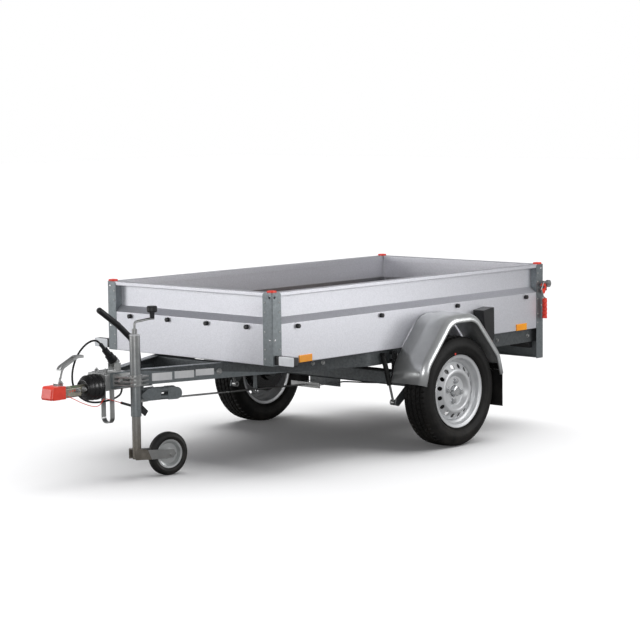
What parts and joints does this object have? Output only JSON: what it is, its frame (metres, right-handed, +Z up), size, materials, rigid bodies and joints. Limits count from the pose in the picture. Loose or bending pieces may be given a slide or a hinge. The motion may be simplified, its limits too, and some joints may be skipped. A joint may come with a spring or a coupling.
{
  "type": "single-axle utility trailer",
  "caption": "Single-axle box utility trailer with overrun-braked ball coupling, drop-down tailgate, mudguards, vented wheels and a cranked jockey wheel.",
  "frame": {"origin": "on the ground, at the middle of the overall length and width", "axes": "+X to the trailer's left, +Y to the rear along its length, +Z up"},
  "size_m": [1.52, 2.9725, 0.845],
  "materials": {
    "wall_sheet": "spangled hot-dip sheet, light grey",
    "galvanised": "dull hot-dip galvanised",
    "zinc_plate": "bright zinc plated",
    "plywood": "film faced, dark brown",
    "red_plastic": "moulded, satin",
    "orange_plastic": "moulded, glossy",
    "black_plastic": "moulded, matt",
    "lamp_lens": "lens",
    "clear_lens": "clear lens",
    "rubber": "matt",
    "tyre": "moulded tread rubber",
    "rim_paint": "silver paint",
    "cast": "grey casting",
    "black_paint": "black paint",
    "coupling_zinc": "zinc plated casting"
  },
  "bodies": {
    "chassis": {"side_walls": "wall_sheet", "front_wall": "wall_sheet", "load_floor": "plywood", "corner_posts": "galvanised", "post_caps": "red_plastic", "tarp_knobs": "black_plastic", "lamp_panel": "galvanised", "rear_lamps": "lamp_lens", "frame_rails": "galvanised", "cross_members": "galvanised", "axle_beam": "galvanised", "swing_arms": "galvanised", "dampers": "black_paint", "brake_plates": "zinc_plate", "mudguards": "zinc_plate", "guard_stays": "black_paint", "mudflaps": "rubber", "guard_wedges": "black_plastic", "marker_lamps": "clear_lens", "side_reflectors": "orange_plastic", "overrun_housing": "zinc_plate", "coupling_head": "coupling_zinc", "nose_cap": "red_plastic", "coupling_handle": "zinc_plate", "bellows": "rubber", "rest_loop": "zinc_plate", "handbrake_lever": "black_plastic", "brake_rod": "zinc_plate", "brake_cables": "rubber", "jockey_clamp": "zinc_plate", "jockey_tube": "zinc_plate", "jockey_crank": "zinc_plate", "wheel_chock": "galvanised", "supply_plug": "black_plastic", "supply_cord": "rubber", "breakaway_cord": "red_plastic", "breakaway_clip": "black_plastic"},
    "wheel_left": {"tyre_left": "tyre", "rim_left": "rim_paint", "drum_left": "cast"},
    "wheel_right": {"tyre_right": "tyre", "rim_right": "rim_paint", "drum_right": "cast"},
    "tailgate": {"tailgate_panel": "wall_sheet", "tailgate_hinges": "galvanised", "tailgate_knobs": "black_plastic", "latch_brackets": "zinc_plate", "latch_catches": "red_plastic", "latch_levers": "zinc_plate", "latch_grips": "red_plastic"},
    "jockey_carrier": {"jockey_nut": "cast"},
    "jockey_swivel": {"jockey_fork": "zinc_plate"},
    "jockey_wheel": {"jockey_rim": "rim_paint", "jockey_tyre": "rubber"}
  },
  "joints": [
    {"name": "wheel_left_spin", "type": "hinge", "parent": "chassis", "child": "wheel_left", "pos_m": [0.658, 0.53335, 0.2735], "axis": [1, 0, 0], "continuous": true},
    {"name": "wheel_right_spin", "type": "hinge", "parent": "chassis", "child": "wheel_right", "pos_m": [-0.658, 0.53335, 0.2735], "axis": [1, 0, 0], "continuous": true},
    {"name": "tailgate_hinge", "type": "hinge", "parent": "chassis", "child": "tailgate", "pos_m": [0, 1.45825, 0.495], "axis": [-1, 0, 0], "range_deg": [0, 175]},
    {"name": "jockey_lift", "type": "slide", "parent": "chassis", "child": "jockey_carrier", "axis": [0, 0, 1], "range_m": [-0.1, 0.14]},
    {"name": "jockey_turn", "type": "hinge", "parent": "jockey_carrier", "child": "jockey_swivel", "pos_m": [0.14, -1.07625, 0.2], "axis": [0, 0, 1], "continuous": true},
    {"name": "jockey_spin", "type": "hinge", "parent": "jockey_swivel", "child": "jockey_wheel", "pos_m": [0.17389, -0.91681, 0.1], "axis": [0.9781, -0.2079, 0], "continuous": true}
  ]
}
